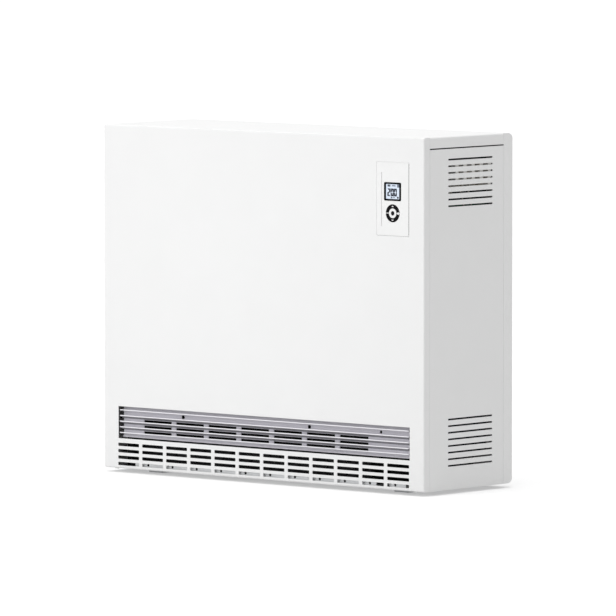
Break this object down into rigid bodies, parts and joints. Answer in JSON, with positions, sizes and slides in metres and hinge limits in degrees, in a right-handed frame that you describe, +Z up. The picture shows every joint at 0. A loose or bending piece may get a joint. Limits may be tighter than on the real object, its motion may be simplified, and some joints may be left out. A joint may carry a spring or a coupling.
{
  "type": "storage heater",
  "caption": "Floor-standing fan-assisted night storage heater: white sheet casing, slotted air intake, finned aluminium outlet grille and a small control panel with display and ring keys.",
  "frame": {"origin": "on the floor, under the middle of the casing", "axes": "+X to the right seen from the front, the front with the outlet grille faces -Y, +Z up"},
  "size_m": [0.78, 0.256, 0.65],
  "materials": {
    "white_enamel": "smooth white powder coat",
    "galvanised_sheet": "galvanised sheet",
    "black_steel": "matt heat-resistant paint",
    "zinc_screw": "zinc plated",
    "black_rubber": "matt",
    "grille_aluminium": "satin anodised",
    "black_plastic": "fine grain",
    "filter_plastic": "matt",
    "white_plastic": "fine grain",
    "display_black": "gloss",
    "lcd": "backlit liquid crystal",
    "grey_silicone": "matt",
    "circuit_board": "solder mask",
    "storage_brick": "pressed magnetite brick",
    "element_steel": "heat tinted",
    "white_ceramic": "unglazed steatite",
    "insulation_board": "fibrous board",
    "motor_steel": "laminated",
    "copper_winding": "enamelled copper wire",
    "bearing_bronze": "sintered bronze",
    "brass_clamp": "nickel free brass",
    "impeller_aluminium": "mill finish",
    "bimetal_strip": "rolled strip",
    "red_plastic": "gloss",
    "silicone_lead": "satin"
  },
  "bodies": {
    "casing": {"front_panel": "white_enamel", "left_side_panel": "white_enamel", "right_side_panel": "white_enamel", "top_lid": "white_enamel", "rear_panel": "white_enamel", "base_plate": "galvanised_sheet", "left_floor_rail": "galvanised_sheet", "right_floor_rail": "galvanised_sheet", "casing_screws": "zinc_screw", "cable_grommet": "black_rubber", "room_sensor": "black_plastic", "outlet_duct": "black_steel", "lint_filter": "filter_plastic", "control_fascia": "white_plastic", "display_frame": "display_black", "display_module": "lcd", "key_mat": "grey_silicone", "display_board": "circuit_board", "lower_bricks": "storage_brick", "middle_bricks": "storage_brick", "upper_bricks": "storage_brick", "lower_element": "element_steel", "middle_element": "element_steel", "upper_element": "element_steel", "element_insulators": "white_ceramic", "base_insulation": "insulation_board", "top_insulation": "insulation_board", "front_insulation": "insulation_board", "rear_insulation": "insulation_board", "left_insulation": "insulation_board", "right_insulation": "insulation_board", "front_heat_shield": "galvanised_sheet", "core_support": "black_steel", "left_core_wall": "black_steel", "partition_wall": "black_steel", "core_probe": "element_steel", "fan_tray": "galvanised_sheet", "fan_housing": "black_steel", "motor_stator": "motor_steel", "motor_coil": "copper_winding", "fan_bearings": "bearing_bronze", "flap_bimetal": "bimetal_strip", "switchgear_carrier": "black_steel", "terminal_block": "white_ceramic", "terminal_clamps": "brass_clamp", "power_board": "circuit_board", "relays": "black_plastic", "safety_limiter": "black_plastic", "wiring": "silicone_lead"},
    "grille": {"outlet_grille": "grille_aluminium"},
    "left_catch": {"left_grille_catch": "black_plastic"},
    "right_catch": {"right_grille_catch": "black_plastic"},
    "up_key": {"key_up": "black_plastic"},
    "down_key": {"key_down": "black_plastic"},
    "enter_key": {"key_enter": "white_plastic"},
    "fan_rotor": {"fan_impellers": "impeller_aluminium", "fan_shaft": "motor_steel", "motor_rotor": "motor_steel"},
    "flap": {"mixing_flap": "black_steel"},
    "reset_button": {"limiter_reset_button": "red_plastic"}
  },
  "joints": [
    {"name": "grille_pull", "type": "slide", "parent": "casing", "child": "grille", "axis": [0, -1, 0], "range_m": [0, 0.06]},
    {"name": "left_catch_turn", "type": "hinge", "parent": "grille", "child": "left_catch", "pos_m": [-0.2022, -0.112, 0.1109], "axis": [0, 1, 0], "range_deg": [0, 90]},
    {"name": "right_catch_turn", "type": "hinge", "parent": "grille", "child": "right_catch", "pos_m": [0.1071, -0.112, 0.1109], "axis": [0, 1, 0], "range_deg": [0, 90]},
    {"name": "up_key_press", "type": "slide", "parent": "casing", "child": "up_key", "axis": [0, 1, 0], "range_m": [0, 0.0005], "stiffness_N_per_m": 400},
    {"name": "down_key_press", "type": "slide", "parent": "casing", "child": "down_key", "axis": [0, 1, 0], "range_m": [0, 0.0005], "stiffness_N_per_m": 400},
    {"name": "enter_key_press", "type": "slide", "parent": "casing", "child": "enter_key", "axis": [0, 1, 0], "range_m": [0, 0.0005], "stiffness_N_per_m": 400},
    {"name": "fan_spin", "type": "hinge", "parent": "casing", "child": "fan_rotor", "pos_m": [-0.03, 0.05, 0.066], "axis": [1, 0, 0], "continuous": true},
    {"name": "flap_turn", "type": "hinge", "parent": "casing", "child": "flap", "pos_m": [-0.03, 0.005, 0.122], "axis": [-1, 0, 0], "range_deg": [0, 50]},
    {"name": "reset_press", "type": "slide", "parent": "casing", "child": "reset_button", "axis": [-1, 0, 0], "range_m": [0, 0.002], "stiffness_N_per_m": 300}
  ]
}
